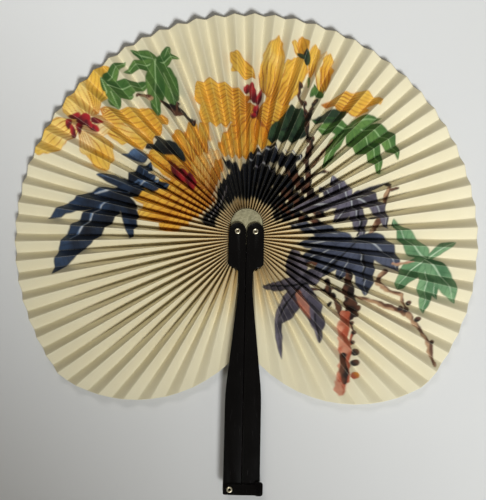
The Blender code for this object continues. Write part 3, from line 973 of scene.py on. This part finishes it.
def pleating_tree(paper):
    """A tree that pleats a flat sheet: it lifts every point by its place between two folds."""
    sizes = {
        "Panel width": PANEL_WIDTH,
        "Middle": MIDDLE,
        "Crispness": 0.97,
        "Ripple": 0.35 * MM,
        "Ripple scale": 42.0,
    }
    board, given = open_tree("pleated_paper", "Sheet", sizes)
    fold, span, slack = (
        board.node("GeometryNodeInputNamedAttribute", {"data_type": "FLOAT"}, {"Name": name})
        for name in ("fold", "span", "slack")
    )
    width, crisp = given["Panel width"], given["Crispness"]
    depth = board.maths("SQRT", width * width - span * span) * slack
    swing = board.maths("SINE", (fold - 0.5) * math.pi) * crisp
    wave = board.maths("ARCSINE", swing) / board.maths("ARCSINE", crisp)
    place = board.node("GeometryNodeInputPosition")
    bumps = board.noise(place, given["Ripple scale"], 2.0)
    height = given["Middle"] + depth * wave * 0.5 + (bumps - 0.5) * given["Ripple"]
    x, y = (board.node("ShaderNodeSeparateXYZ", {}, {0: place}, axis) for axis in range(2))
    raised = board.node("ShaderNodeCombineXYZ", {}, {0: x, 1: y, 2: height})
    sheet = {"Geometry": given["Sheet"], "Position": raised}
    return closed_tree(board, board.node("GeometryNodeSetPosition", {}, sheet), paper)


def flat_run(name, angles, first):
    """The flat sheet of one run of pleats, with its folds, panel spans and paint as attributes."""
    folds = len(angles) - 1
    rim = rim_points(angles)
    inner = np.array([inner_point(angle) for angle in angles])
    share = np.linspace(0, folds, folds * COLUMNS + 1)
    left = np.minimum(share.astype(int), folds - 1)
    within = (share - left)[:, None]
    low = inner[left] * (1 - within) + inner[left + 1] * within
    high = rim[left] * (1 - within) + rim[left + 1] * within
    reach = np.linspace(0, 1, ROWS + 1)[None, :]
    flat = low[:, None, :] * (1 - reach[:, :, None]) + high[:, None, :] * reach[:, :, None]
    turn = np.interp(share, np.arange(folds + 1), angles)
    panels = np.arange(folds) + 0.5
    rim_span = np.linalg.norm(high, axis=1) * np.interp(share, panels, np.diff(angles))
    inner_span = np.interp(share, panels, np.linalg.norm(np.diff(inner, axis=0), axis=1))
    span = inner_span[:, None] * (1 - reach) + rim_span[:, None] * reach
    span = np.minimum(span, FULLEST_SPAN)
    ends = step(np.abs(np.degrees(turn)), SLACK_FROM, SLACK_TO)[:, None]
    slack = 1 - SLACK * ends * step(reach, 0.05, 0.6)
    columns, rows = flat.shape[:2]
    points = np.zeros((columns * rows, 3))
    points[:, :2] = flat.reshape(-1, 2)
    swing = np.abs((share + first) % 2 - 1) * 2 - 1
    shift = np.repeat(PRINT_SHIFT * swing, rows)
    x, y = points[:, 0], points[:, 1]
    away = np.maximum(np.hypot(x, y), MM)
    paint = painted(x + x / away * shift, y + y / away * shift)
    points[:, 1] += HUB_Y
    index = np.arange(columns * rows).reshape(columns, rows)
    corners = (index[:-1, :-1], index[:-1, 1:], index[1:, 1:], index[1:, :-1])
    quads = np.stack(corners, -1).reshape(-1, 4)
    mesh = bpy.data.meshes.new(name)
    mesh.from_pydata(points.tolist(), [], quads[:, ::-1].tolist())
    mesh.update()

    def store(kind, label, values, field="value"):
        layer = mesh.attributes.new(label, kind, "POINT")
        layer.data.foreach_set(field, np.ascontiguousarray(values, dtype=np.float32).ravel())

    store("FLOAT", "fold", np.repeat(share + first, rows))
    store("FLOAT", "span", np.broadcast_to(span, (columns, rows)))
    store("FLOAT", "slack", np.broadcast_to(slack, (columns, rows)))
    colours = np.concatenate([paint, np.ones((len(paint), 1))], 1)
    store("FLOAT_COLOR", "paint", colours, "color")
    sides = np.array([edge.vertices[:] for edge in mesh.edges]) // rows
    on_fold = (sides[:, 0] == sides[:, 1]) & (sides[:, 0] % COLUMNS == 0)
    mesh.shade_smooth()
    mesh.attributes.new("sharp_edge", "BOOLEAN", "EDGE").data.foreach_set("value", on_fold)
    return new_object(name, mesh)


def paper_leaf(front, back):
    """The whole leaf, one piece for each run of pleats that folds as one."""
    angles = fold_angles()
    tree = pleating_tree(front)
    folds = 2 * PLEATS_PER_RUN
    for run in range(PLEATS // PLEATS_PER_RUN):
        first = run * folds
        near = angles[first : first + folds + 1]
        piece = flat_run(f"paper_run_{run + 1:02d}", near, first)
        piece.modifiers.new("pleat", "NODES").node_group = tree
        piece.data.materials.append(front)
        piece.data.materials.append(back)
        thick = piece.modifiers.new("paper", "SOLIDIFY")
        thick.thickness = PAPER
        thick.offset = -1
        thick.material_offset = 1
        thick.material_offset_rim = 1
        piece = settled(piece)
        middle = near[folds // 2]
        start = Vector(inner_point(middle))
        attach(piece, f"pleats_{run + 1:02d}")
        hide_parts(f"leaf_pleats_{run + 1:02d}")
        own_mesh(piece)


# Handle


def half_outline():
    """The face of the right handle half: round head, waist and widening grip."""
    points = arc((PIVOT_X, 0), (EDGE - SEAM) / 2, 180, 0, 48)
    points.append((EDGE, HEAD_END))
    points.append(SHOULDER)
    points += arc((SHOULDER[0], NECK_TOP), SHOULDER[0] - NECK_WIDTH, 96, 180, 20)[1:]
    points.append((NECK_WIDTH, NECK_END))
    points.append((EDGE - FLARE_INSET, FLARE_END))
    points.append((EDGE - FLARE_EASE, (FLARE_END + FLARE_ROUND) / 2))
    points.append((EDGE, FLARE_ROUND))
    points += arc((EDGE - END_CORNER, HANDLE_END + END_CORNER), END_CORNER, 0, -90, 10)
    points.append((SEAM, HANDLE_END))
    return points


def handle_half(word, side, clasp_pivot, plastic):
    """Front and back flanges joined by a web at the seam, with a seat for the back eyelet."""
    outline = mirrored(half_outline(), side)
    holes = [((side * PIVOT_X, 0), HOLE_RADIUS)]
    front_holes = holes + ([(clasp_pivot, HOLE_RADIUS)] if side < 0 else [])
    name = f"moulded_half_{word}"
    front = plate(name, outline, DEPTH - WALL, DEPTH, front_holes)
    back = plate(name + "_back", outline, 0, WALL, holes)
    xs = sorted((side * SEAM, side * (SEAM + WALL)))
    web = block(name + "_web", (xs[0], HANDLE_END, WALL / 2), (xs[1], WEB_TOP, DEPTH - WALL / 2))
    round_seat = arc((side * PIVOT_X, 0), SEAT_RADIUS, 0, 360, 48)[:-1]
    seat = plate(name + "_seat", round_seat, -WALL, SEAT_DEPTH)
    shell = join(join(join(front, back), web), seat, "DIFFERENCE")
    shell = soften(shell, HALF_EDGE)
    finished(shell, plastic, f"{word}_half", "black_plastic", f"handle_{word}")


# Hub


def hub_outline():
    points = arc((0, ARCH_Y), PLATE_RADIUS, 0, 180, 64)
    x, y = PLATE_RADIUS - PLATE_CORNER, PLATE_FOOT + PLATE_CORNER
    points += arc((-x, y), PLATE_CORNER, 180, 270, 8)
    points += arc((x, y), PLATE_CORNER, 270, 360, 8)
    return points


def hub_boards(board):
    holes = [((side * PIVOT_X, 0), HOLE_RADIUS) for side in (-1, 1)]
    for word, box in (("front", PLATE_BOX), ("back", BACK_PLATE_BOX)):
        piece = plate(f"board_{word}", hub_outline(), box[0][2], box[1][2], holes)
        piece = soften(piece, PLATE_EDGE, 2)
        finished(piece, board, "hub", "hub_board", f"hub_plate_{word}")


def eyelet_profile(head, under, foot, clinch):
    """A rolled head, a barrel and a rolled foot, as a closed profile of (radius, z)."""
    middle = (FLANGE_RADIUS + BORE_RADIUS) / 2
    half = (FLANGE_RADIUS - BORE_RADIUS) / 2
    turns = [math.pi * k / ROLL_STEPS for k in range(ROLL_STEPS + 1)]
    points = []
    for way, base, top in ((half, under, head), (-half, clinch, foot)):
        points += [
            (middle + way * math.cos(t), base + (top - base) * math.sin(t) ** ROLL_SHAPE)
            for t in turns
        ]
    return points + [(BARREL_RADIUS, clinch), (BARREL_RADIUS, under)]


def eyelet(node, body, metal):
    """A tubular eyelet in the space of its solid in the frame."""
    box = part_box(node)
    low, high = box[0][2], box[1][2]
    levels = (high, high - FLANGE_THICK, low, low + FLANGE_THICK)
    if "back" in node:
        levels = levels[2:] + levels[:2]
    piece = turned("metal_" + node, eyelet_profile(*levels), plan_middle(box))
    finished(piece, metal, body, "eyelet_metal", node)


# Clasp


def knurl_tree(plastic):
    """A tree that stands a small cut pyramid on every point of a patch."""
    board, given = open_tree("knurling", "Patch", {"Size": KNURL_SIZE, "Height": KNURL_HEIGHT})
    sizes = {
        "Vertices": 4,
        "Radius Top": given["Size"] * KNURL_TOP,
        "Radius Bottom": given["Size"],
        "Depth": given["Height"],
    }
    stud = board.node("GeometryNodeMeshCone", {}, sizes)
    spread = {"Points": given["Patch"], "Instance": stud}
    return closed_tree(board, board.node("GeometryNodeInstanceOnPoints", {}, spread), plastic)


def clasp(pivot, plastic):
    """A strap with a raised grip, a lip round the right half's edge, and knurls on the grip."""
    low, high = GRIP_BOX
    base = CLASP_EYELET_BOX[1][2] - STRAP_DROP - STRAP_THICK
    grip_end, grip_foot, grip_top = high[0], low[1] - HUB_Y, high[1] - HUB_Y
    lap = GRIP_START + STRAP_LAP
    outline = arc(pivot, STRAP_HALF, 90, 270, 32)
    outline += [(lap, pivot[1] - STRAP_HALF), (lap, pivot[1] + STRAP_HALF)]
    strap = plate("clasp", outline, base, base + STRAP_THICK, [(pivot, HOLE_RADIUS)])
    left, right = GRIP_START + GRIP_CORNER, grip_end - GRIP_CORNER
    bottom, top = grip_foot + GRIP_CORNER, grip_top - GRIP_CORNER
    shape = []
    for turn, corner in enumerate(((right, top), (left, top), (left, bottom), (right, bottom))):
        shape += arc(corner, GRIP_CORNER, 90 * turn, 90 * turn + 90, 10)
    grip = plate("grip", shape, base, base + GRIP_THICK - KNURL_RISE)
    lip = block("lip", (EDGE + LIP_GAP, bottom, low[2]), (grip_end, top, base + GRIP_THICK / 2))
    made = soften(join(join(strap, grip), lip), CLASP_EDGE, 2)
    finished(made, plastic, "clasp", "black_plastic", "clasp_strap")

    spots = []
    for i in range(int((grip_end - GRIP_START - STRAP_LAP) / KNURL_PITCH) + 1):
        for k in range(int((grip_top - grip_foot - STRAP_LAP) / KNURL_PITCH) + 1):
            x = GRIP_START + KNURL_INSET + i * KNURL_PITCH
            y = grip_foot + KNURL_INSET + k * KNURL_PITCH
            past = math.hypot(max(left - x, x - right, 0), max(bottom - y, y - top, 0))
            if past < GRIP_CORNER - KNURL_RISE:
                spots.append((x, y + HUB_Y, base + GRIP_THICK - KNURL_HEIGHT))
    mesh = bpy.data.meshes.new("knurls")
    mesh.from_pydata(spots, [], [])
    studs = new_object("clasp_knurls", mesh)
    studs.modifiers.new("knurl", "NODES").node_group = knurl_tree(plastic)
    finished(settled(studs), plastic, "clasp", "black_plastic")


# Finishes

FIBRES = (2600.0, 4.0, 0.65)
FIBRE_DEPTH = 0.04 * MM
FIBRE_STRENGTH = 0.5


def paper_front():
    """Printed paper: its paint and fibres, pigment worn along the folds, and a warm darkening
    towards the hub that is partly age browning and partly painted warm bounce light and shade
    between the close pleats there.
    """
    look = Finish("printed_paper", Roughness=0.66)
    place = look.place()
    paint = look.node("ShaderNodeAttribute", {"attribute_name": "paint"})
    fold = look.node("ShaderNodeAttribute", {"attribute_name": "fold"}, out=2)
    fibres = look.noise(place, *FIBRES)
    cloud = look.noise(place, 60.0, 3.0)
    tint = look.mix(look.ramp(fibres, 0.3, 0.75) * 0.5, hue(214, 205, 170), (1, 1, 1))
    colour = look.mix(0.16, paint, tint, "MULTIPLY")
    phase = look.maths("FRACT", fold + 0.5) - 0.5
    ridge = 1 - look.ramp(look.maths("ABSOLUTE", phase), 0.0, 0.07)
    worn = ridge * look.ramp(fibres, 0.35, 0.7) * 0.3
    colour = look.mix(worn, colour, hue(226, 216, 180))
    colour = look.mix(look.ramp(cloud, 0.2, 0.9) * 0.1, colour, hue(200, 180, 120), "MULTIPLY")
    # Painted warm shade and bounce light, together with age browning: the colour is multiplied
    # warmer and darker towards the hub.
    ends = {0: place, 1: (0, HUB_Y, MIDDLE)}
    hub = look.node("ShaderNodeVectorMath", {"operation": "DISTANCE"}, ends, 1)
    browning_and_bounce = 1 - look.ramp(hub, 8 * MM, 55 * MM)
    colour = look.mix(browning_and_bounce * 0.55, colour, hue(246, 214, 150), "MULTIPLY")
    look.set(Base_Color=colour, Roughness=0.6 + fibres * 0.2)
    look.bump(fibres, FIBRE_DEPTH, FIBRE_STRENGTH)
    return look.material


def paper_back():
    look = Finish("plain_paper", Roughness=0.72)
    place = look.place()
    fibres = look.noise(place, *FIBRES)
    cloud = look.noise(place, 90.0, 3.0)
    colour = look.mix(look.ramp(fibres, 0.3, 0.7), hue(224, 214, 176), hue(238, 231, 200))
    colour = look.mix(look.ramp(cloud, 0.3, 0.8) * 0.25, colour, hue(216, 200, 156))
    look.set(Base_Color=colour, Roughness=0.65 + fibres * 0.2)
    look.bump(fibres, FIBRE_DEPTH, FIBRE_STRENGTH)
    return look.material


def black_plastic():
    """Moulded black plastic with a soft shine, fine flow marks and hairline scuffs."""
    look = Finish("black_plastic", Specular_IOR_Level=0.22)
    place = look.place()
    flow = look.noise(place, 70.0, 3.0)
    fine = look.noise(place, 1400.0, 3.0)
    squeezed = look.node("ShaderNodeMapping", {}, {"Vector": place, "Scale": (1.0, 0.05, 1.0)})
    scratch = look.ramp(look.noise(squeezed, 2200.0, 2.0), 0.68, 0.74)
    colour = look.mix(flow, hue(5, 4, 4), hue(12, 10, 9))
    colour = look.mix(scratch * 0.25, colour, hue(36, 34, 32))
    look.set(Base_Color=colour, Roughness=0.17 + flow * 0.1 + scratch * 0.2)
    look.bump(fine * 0.6 + flow * 0.4, 0.00003, 0.5)
    return look.material


def hub_board():
    """Grey-olive pulp board with darker and lighter specks."""
    look = Finish("speckled_board", Roughness=0.85)
    place = look.place()
    specks = look.noise(place, 900.0, 5.0, 0.7)
    cloud = look.noise(place, 220.0, 3.0)
    colour = look.mix(look.ramp(specks, 0.36, 0.66), hue(122, 116, 88), hue(164, 157, 125))
    colour = look.mix(look.ramp(cloud, 0.35, 0.7) * 0.5, colour, hue(158, 150, 116))
    look.set(Base_Color=colour, Roughness=0.78 + specks * 0.15)
    look.bump(specks, 0.00006, 0.6)
    return look.material


def eyelet_metal():
    """Pale lacquered brass, dulled and slightly stained in patches."""
    look = Finish("eyelet_metal", Metallic=1.0)
    place = look.place()
    stain = look.noise(place, 1800.0, 4.0)
    colour = look.mix(look.ramp(stain, 0.35, 0.75), hue(236, 228, 204), hue(176, 162, 126))
    look.set(Base_Color=colour, Roughness=0.26 + stain * 0.25)
    look.bump(stain, 0.00002, 0.4)
    return look.material


def thread():
    look = Finish("waxed_thread", Roughness=0.8)
    place = look.place()
    strands = {"Vector": place, "Scale": 900.0, "Distortion": 1.5}
    twist = look.node("ShaderNodeTexWave", {}, strands, 1)
    colour = look.mix(twist, hue(150, 138, 108), hue(206, 196, 166))
    look.set(Base_Color=colour)
    look.bump(twist, 0.00005)
    return look.material


def table_top():
    look = Finish("table", Roughness=0.85, Specular_IOR_Level=0.2)
    place = look.place()
    cloud = look.noise(place, 6.0, 3.0)
    grain = look.noise(place, 900.0, 2.0)
    colour = look.mix(cloud, hue(226, 226, 225), hue(218, 217, 215))
    look.set(Base_Color=colour)
    look.bump(grain, 0.00003, 0.4)
    return look.material


# Setting


def sheet_of(name, middle, half, turn=0.0):
    """A level square, for the table or the shade."""
    work = bmesh.new()
    bmesh.ops.create_grid(work, x_segments=1, y_segments=1, size=half)
    bmesh.ops.rotate(work, matrix=Matrix.Rotation(math.radians(turn), 3, "Z"), verts=work.verts)
    bmesh.ops.translate(work, vec=middle, verts=work.verts)
    made = built(name, work)
    return made


def toward(turn, height):
    """The direction at a turn from +X and a height above the table, in degrees."""
    turn, height = math.radians(turn), math.radians(height)
    level = math.cos(height)
    return Vector((math.cos(turn) * level, math.sin(turn) * level, math.sin(height)))


def light(name, way, spread, strength, colour):
    """Light from far off, with soft shadows of that spread in degrees."""
    data = bpy.data.lights.new(name, "SUN")
    data.angle = math.radians(spread)
    data.energy = strength
    data.color = colour
    made = bpy.data.objects.new(name, data)
    bpy.context.scene.collection.objects.link(made)
    made.rotation_euler = way.to_track_quat("Z", "Y").to_euler()


def setting():
    """The table, window light shaded at the lower left, weak room light, and the camera."""
    scene = bpy.context.scene
    scene.view_settings.view_transform = "Standard"
    table = sheet_of("table", (0, 0, 0), TABLE_HALF)
    coated(table, table_top())

    world = bpy.data.worlds.new("room")
    scene.world = world
    world.use_nodes = True
    glow = world.node_tree.nodes["Background"].inputs
    glow["Color"].default_value = GLOW_TINT
    glow["Strength"].default_value = ROOM_GLOW

    window = toward(*WINDOW_WAY)
    light("window", window, WINDOW_SPREAD, WINDOW_STRENGTH, WINDOW_TINT)
    light("room", toward(*ROOM_WAY), ROOM_SPREAD, ROOM_STRENGTH, ROOM_TINT)
    spot = Vector(SHADE_SPOT) + window * SHADE_DISTANCE
    shade = sheet_of("shade", spot, SHADE_HALF, SHADE_TURN)
    shade.visible_camera = False

    camera = bpy.data.cameras.new("camera")
    camera.sensor_fit = "VERTICAL"
    camera.sensor_height = 36
    camera.lens = FOCAL
    camera.clip_start = 0.01
    eye = bpy.data.objects.new("camera", camera)
    scene.collection.objects.link(eye)
    back = toward(math.degrees(VIEW_TURN) - 90, math.degrees(VIEW_HEIGHT))
    right = Vector((math.cos(VIEW_TURN), math.sin(VIEW_TURN), 0))
    up = back.cross(right)
    spot = Vector((VIEW_AIM[0], VIEW_AIM[1] + HUB_Y, 0)) + back * VIEW_DISTANCE
    eye.matrix_world = Matrix(
        [[right[k], up[k], back[k], spot[k]] for k in range(3)] + [[0, 0, 0, 1]]
    )
    scene.camera = eye


def carried_over(node, material):
    """A solid of the frame that is seen as it is, with its real finish."""
    coated(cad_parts[node], material)


def main():
    setting()
    plastic = black_plastic()
    metal = eyelet_metal()
    front, back = paper_front(), paper_back()
    x, y = plan_middle(CLASP_EYELET_BOX)
    pivot = (x, y - HUB_Y)
    paper_leaf(front, back)
    handle_half("left", -1, pivot, plastic)
    handle_half("right", 1, pivot, plastic)
    hub_boards(hub_board())
    for face in ("front", "back"):
        for word in ("left", "right"):
            eyelet(f"eyelet_{face}_{word}", "hub", metal)
    eyelet("clasp_eyelet", "clasp", metal)
    clasp(pivot, plastic)
    carried_over("lacing_cord", thread())
    for word in ("left", "right"):
        carried_over(f"leaf_end_{word}", back)


main()
